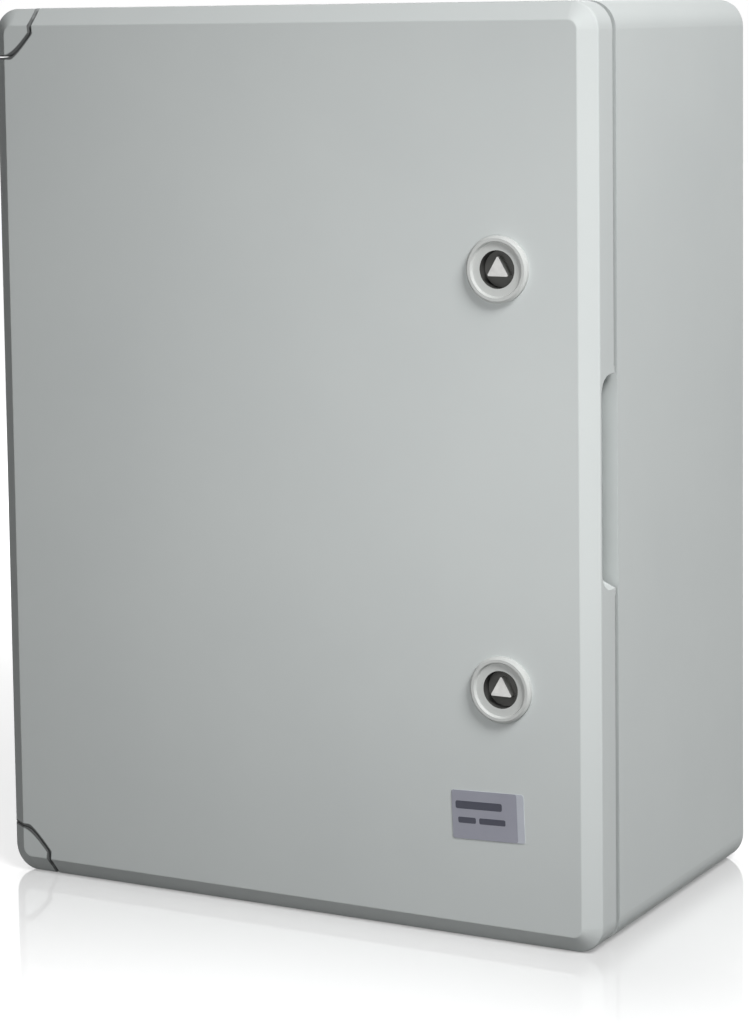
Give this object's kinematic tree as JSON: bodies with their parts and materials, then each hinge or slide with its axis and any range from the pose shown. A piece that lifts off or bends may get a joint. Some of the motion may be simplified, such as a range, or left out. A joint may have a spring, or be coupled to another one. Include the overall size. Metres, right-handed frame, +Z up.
{
  "type": "electrical enclosure",
  "caption": "Wall-mounted moulded plastic enclosure with a bevelled hinged door, quarter-turn key locks, a foam seal and a metal mounting plate for wiring devices.",
  "frame": {"origin": "under the middle of the overall box, on the plane that the body stands on", "axes": "+Z up along the height, +Y towards the wall, the door faces -Y, +X to the right seen from the door"},
  "size_m": [0.3, 0.1728, 0.4],
  "materials": {
    "grey_moulding": "light grey moulded plastic with a fine spark-eroded grain",
    "lock_moulding": "light grey moulded plastic, smoother than the door",
    "foam_seal": "dark grey foamed seal",
    "black_rubber": "black rubber ring",
    "key_core": "cast zinc, bright on the key post and blackened below it",
    "plated_steel": "zinc plated steel",
    "galvanised_sheet": "galvanised sheet steel",
    "brass": "turned brass"
  },
  "bodies": {
    "enclosure": {"body_shell": "grey_moulding", "hinge_pin_upper": "plated_steel", "hinge_pin_lower": "plated_steel", "mounting_plate": "galvanised_sheet", "plate_inserts": "brass", "plate_washers": "plated_steel", "plate_screws": "plated_steel"},
    "door": {"door_panel": "grey_moulding", "door_gasket": "foam_seal", "upper_lock_housing": "lock_moulding", "upper_lock_seal": "black_rubber", "upper_lock_nut": "plated_steel", "lower_lock_housing": "lock_moulding", "lower_lock_seal": "black_rubber", "lower_lock_nut": "plated_steel"},
    "upper_lock": {"upper_lock_core": "key_core", "upper_lock_cam": "plated_steel", "upper_cam_washer": "plated_steel", "upper_cam_screw": "plated_steel"},
    "lower_lock": {"lower_lock_core": "key_core", "lower_lock_cam": "plated_steel", "lower_cam_washer": "plated_steel", "lower_cam_screw": "plated_steel"}
  },
  "joints": [
    {"name": "door_hinge", "type": "hinge", "parent": "enclosure", "child": "door", "pos_m": [-0.1433, -0.0746, 0.2], "axis": [0, 0, -1], "range_deg": [0, 120]},
    {"name": "upper_lock_turn", "type": "hinge", "parent": "door", "child": "upper_lock", "pos_m": [0.106, -0.0686, 0.289], "axis": [0, -1, 0], "range_deg": [0, 90]},
    {"name": "lower_lock_turn", "type": "hinge", "parent": "door", "child": "lower_lock", "pos_m": [0.106, -0.0686, 0.111], "axis": [0, -1, 0], "range_deg": [0, 90]}
  ]
}
